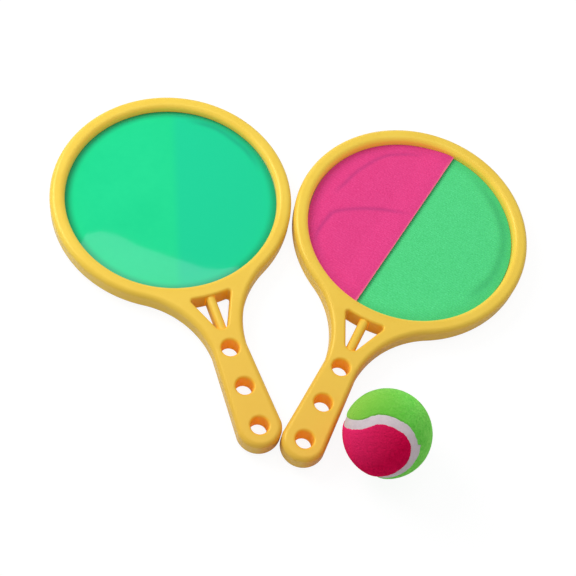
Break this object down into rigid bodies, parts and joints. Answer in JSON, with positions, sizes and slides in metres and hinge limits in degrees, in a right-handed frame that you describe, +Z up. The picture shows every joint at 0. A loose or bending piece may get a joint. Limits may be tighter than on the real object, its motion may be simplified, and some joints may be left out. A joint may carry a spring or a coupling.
{
  "type": "catch paddle set",
  "caption": "Round-headed toss-and-catch paddles of yellow plastic with loop fabric faces and pierced grips, lying beside a felt-covered ball.",
  "frame": {"origin": "centre of the set's bounding box in X and Y, on the surface that it lies on", "axes": "+Z up; +Y from the ends of the grips towards the rings; +X from the left paddle to the right one; the grips splay evenly about the Y axis"},
  "size_m": [0.3786, 0.3159, 0.0628],
  "materials": {
    "yellow_plastic": "satin moulding",
    "green_plastic": "smooth and glossy",
    "pink_fabric": "fine loop pile",
    "green_fabric": "fine loop pile",
    "pink_felt": "napped felt",
    "green_felt": "napped felt",
    "seam_rubber": "pale, matt",
    "core_rubber": "matt"
  },
  "bodies": {
    "root": {"left_frame": "yellow_plastic", "right_frame": "yellow_plastic", "left_backing_sheet": "green_plastic", "right_backing_sheet": "green_plastic", "left_pink_fabric": "pink_fabric", "right_pink_fabric": "pink_fabric", "left_green_fabric": "green_fabric", "right_green_fabric": "green_fabric", "ball_green_felt": "green_felt", "ball_pink_felt": "pink_felt", "ball_seam": "seam_rubber", "ball_core_upper_half": "core_rubber", "ball_core_lower_half": "core_rubber"}
  },
  "joints": []
}
